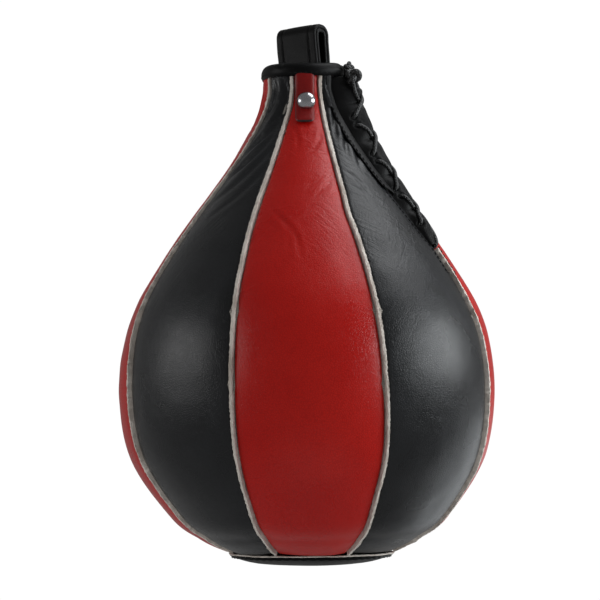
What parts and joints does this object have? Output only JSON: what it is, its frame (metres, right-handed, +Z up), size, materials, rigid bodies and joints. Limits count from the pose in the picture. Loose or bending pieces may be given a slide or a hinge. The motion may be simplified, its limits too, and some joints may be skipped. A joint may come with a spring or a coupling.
{
  "type": "speed ball",
  "caption": "Pear-shaped leather speed ball with alternating red and black panels, pale welted seams, a laced side opening and a riveted hanging loop",
  "frame": {"origin": "middle of the hanging loop's eye, on the small flat where a hook bears", "axes": "+Z up; +X along the eye, the way a hook's pin goes through it; the front panel, whose rivet shows, faces 36 degrees round from -Y towards +X, and the laced opening faces 13.5 degrees past +X towards +Y"},
  "size_m": [0.2006, 0.2006, 0.2863],
  "materials": {
    "red_leather": "semi-gloss grain",
    "black_leather": "semi-gloss grain",
    "welt_leather": "raw cut edge",
    "lining_canvas": "plain weave",
    "bladder_latex": "satin",
    "valve_rubber": "satin",
    "nickel_steel": "polished nickel plate",
    "lace_cord": "waxed cord"
  },
  "bodies": {
    "hang_loop": {"loop_inner_strap": "black_leather", "loop_outer_strap": "black_leather"},
    "bag": {"base_disc": "black_leather", "base_lining": "lining_canvas", "base_welt": "welt_leather", "bladder": "bladder_latex", "bladder_valve": "valve_rubber", "body_lining": "lining_canvas", "lace": "lace_cord", "lace_facing_front": "black_leather", "lace_facing_rear": "black_leather", "lace_knot": "lace_cord", "lace_tongue": "black_leather", "loop_tail_front": "black_leather", "loop_tail_rear": "black_leather", "neck_binding": "black_leather", "neck_cap": "black_leather", "panel_front_left_black": "black_leather", "panel_front_red": "red_leather", "panel_front_right_black": "black_leather", "panel_left_red": "red_leather", "panel_rear_left_black": "black_leather", "panel_rear_red": "red_leather", "panel_rear_right_black": "black_leather", "panel_right_red": "red_leather", "rivet_front": "nickel_steel", "rivet_patch_front": "red_leather", "rivet_patch_rear": "red_leather", "rivet_rear": "nickel_steel", "rivet_washer_front": "nickel_steel", "rivet_washer_rear": "nickel_steel", "slit_edge_front": "black_leather", "slit_edge_rear": "black_leather", "welt_1": "welt_leather", "welt_2": "welt_leather", "welt_3": "welt_leather", "welt_4": "welt_leather", "welt_5": "welt_leather", "welt_6": "welt_leather", "welt_7": "welt_leather", "welt_8": "welt_leather"}
  },
  "joints": [
    {"name": "bag_swing", "type": "hinge", "parent": "hang_loop", "child": "bag", "pos_m": [0, 0, -0.0196], "axis": [1, 0, 0], "range_deg": [-40, 40]}
  ]
}
